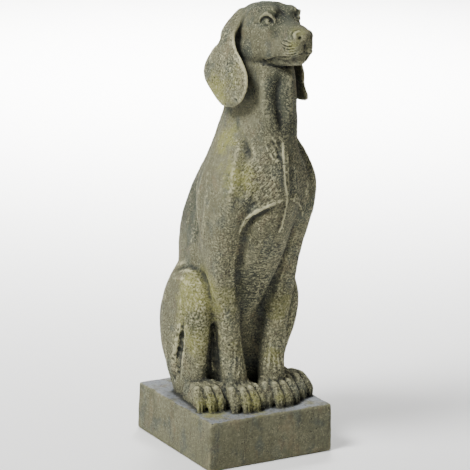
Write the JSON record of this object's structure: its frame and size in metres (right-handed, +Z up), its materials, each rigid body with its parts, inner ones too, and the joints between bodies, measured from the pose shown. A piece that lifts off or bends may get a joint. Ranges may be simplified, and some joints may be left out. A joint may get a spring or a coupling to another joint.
{
  "type": "outdoor dog figurine",
  "caption": "Seated hound with long hanging ears and its head up, cast in one piece with a low square block plinth, weathered for the garden.",
  "frame": {"origin": "middle of the plinth's underside, the face the statue stands on", "axes": "+Z up, -Y the way the dog looks, +X to the dog's left"},
  "size_m": [0.1874, 0.2443, 0.601],
  "materials": {
    "weathered_stone": "matt, pitted grey-green cast stone"
  },
  "bodies": {
    "root": {"dog_statue": "weathered_stone"}
  },
  "joints": []
}
